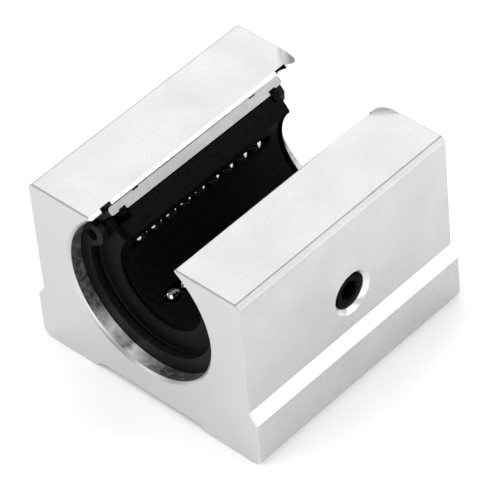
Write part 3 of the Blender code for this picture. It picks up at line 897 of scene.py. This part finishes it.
def circlip_outline():
    """An internal circlip: an off-centre inner edge, ending in two rounded pierced lugs."""
    outer = [polar(CIRCLIP_OUTER, a) for a in spread(CIRCLIP_END + 1.5, 360 - CIRCLIP_END - 1.5,
                                                     140)]
    lug = [polar(*corner) for corner in LUG]
    inner = [(CIRCLIP_INNER * math.sin(math.radians(a)),
              BORE_HEIGHT + CIRCLIP_OFFSET + CIRCLIP_INNER * math.cos(math.radians(a)), 0.0)
             for a in spread(360 - CIRCLIP_WIDENS, CIRCLIP_WIDENS, 120)]
    end = polar(CIRCLIP_OUTER, CIRCLIP_END, 0.3)
    flipped = [(-x, z, corner) for x, z, corner in (end, *lug)]
    return rounded([end, *outer, *flipped, *inner, *reversed(lug)], 6)


def along_y(x, z):
    """Places points round an axis along Y."""
    def place(radius, along, angle):
        turn = math.radians(angle)
        return (x + radius * math.cos(turn), along, z + radius * math.sin(turn))
    return place


def add_circlips():
    outline = circlip_outline()
    through = [(0.0, 25.0), (LUG_HOLE_RADIUS, 25.0), (LUG_HOLE_RADIUS, -25.0), (0.0, -25.0)]
    for side, sign in (("front", -1), ("rear", 1)):
        ring = extruded(f"bore_circlip_{side}", outline, sorted(sign * y for y in CIRCLIP_SPAN))
        for hand in (-1, 1):
            x, z, _ = polar(LUG_HOLE_RING, hand * LUG_HOLE_ANGLE)
            combine(ring, turned("lug_hole", through, along_y(x, z), steps=40))
        soften(ring, 0.10)
        piece(smooth(ring), "block", "black_steel", OXIDE, f"circlip_{side}")


def add_screw():
    head, tip = SCREW_HEAD_X, SCREW_TIP_X
    profile = [(0.0, head), (SCREW_RADIUS - 0.5, head), (SCREW_ROOT, head - 0.4),
               (SCREW_ROOT, tip + 1.0), (SCREW_RADIUS - 1.0, tip), (1.3, tip), (0.0, tip + 0.7)]
    screw = turned("set_screw", profile, on_screw, steps=72)
    floor = head - SOCKET_DEPTH
    hexagon = [(0.0, head + 0.6), (SOCKET_RADIUS + SOCKET_MOUTH, head + 0.6),
               (SOCKET_RADIUS, head - 0.15), (SOCKET_RADIUS, floor), (0.0, floor - 0.4)]
    combine(screw, turned("socket", hexagon, on_screw, steps=6))
    soften(screw, 0.06)
    piece(smooth(screw), "adjusting_screw", "black_steel", DEEP_BLACK, "adjusting_screw")
    ridge = thread("set_screw_thread", on_screw, SCREW_ROOT, SCREW_RADIUS, SCREW_PITCH,
                   tip + 1.0, head - 0.45)
    piece(smooth(ridge), "adjusting_screw", "black_steel", DEEP_BLACK, "adjusting_screw")


add_block()
add_mounting_threads()
add_sleeve()
add_retainer()
add_balls()
add_seals()
add_snap_rings()
add_circlips()
add_screw()


# ---------------------------------------------------------------- floor, light and camera

def add_floor():
    corners = ((-1, -1), (1, -1), (1, 1), (-1, 1))
    floor = solid("floor", [(x * FLOOR_HALF, y * FLOOR_HALF, FLOOR_LEVEL) for x, y in corners],
                  [(0, 1, 2, 3)])
    look = Look("pale_floor", grey(0.90), 0.85, 0.0, 0.1)
    tone = look.noise(0.002, 2.0)
    look.colour(tone, grey(0.89), grey(0.91))
    floor.data.materials.append(look.material)


def add_softbox(name, direction, distance, size, radiance, seen, target):
    """A square area light of an even radiance facing the target, kept out of the picture."""
    light = bpy.data.lights.new(name, "AREA")
    light.shape = "SQUARE"
    light.size = size
    light.energy = radiance * math.pi * size * size
    box = bpy.data.objects.new(name, light)
    bpy.context.scene.collection.objects.link(box)
    away = Vector(direction).normalized()
    box.location = Vector(target) * MM + away * distance
    box.rotation_euler = away.to_track_quat("Z", "Y").to_euler()
    box.visible_camera = False
    box.visible_glossy = seen


def add_world():
    """White behind everything, and a dimmer even light on the part itself."""
    world = bpy.data.worlds.new("studio")
    world.use_nodes = True
    tree = world.node_tree
    background = tree.nodes["Background"]
    background.inputs["Color"].default_value = (1.0, 1.0, 1.0, 1.0)
    path = tree.nodes.new("ShaderNodeLightPath")
    strength = tree.nodes.new("ShaderNodeMapRange")
    strength.inputs["To Min"].default_value = AMBIENT
    strength.inputs["To Max"].default_value = 1.0
    tree.links.new(path.outputs["Is Camera Ray"], strength.inputs["Value"])
    tree.links.new(strength.outputs["Result"], background.inputs["Strength"])
    bpy.context.scene.world = world


def add_camera():
    """A long lens that looks down on the front right corner."""
    turn, rise = math.radians(CAMERA_AZIMUTH), math.radians(CAMERA_ELEVATION)
    away = Vector((math.sin(turn) * math.cos(rise), -math.cos(turn) * math.cos(rise),
                   math.sin(rise)))
    data = bpy.data.cameras.new("camera")
    data.lens = CAMERA_LENS
    data.clip_start = 0.01
    data.clip_end = 20.0
    camera = bpy.data.objects.new("camera", data)
    bpy.context.scene.collection.objects.link(camera)
    facing = away.to_track_quat("Z", "Y").to_matrix().to_4x4()
    place = (Vector(CAMERA_TARGET) + away * CAMERA_DISTANCE) * MM
    camera.matrix_world = (Matrix.Translation(place) @ facing
                           @ Matrix.Rotation(math.radians(CAMERA_ROLL), 4, "Z"))
    bpy.context.scene.camera = camera


add_world()
bpy.context.scene.view_settings.view_transform = "Standard"
bpy.context.scene.view_settings.look = "None"
add_floor()
for softbox in SOFTBOXES:
    add_softbox(*softbox)
add_camera()
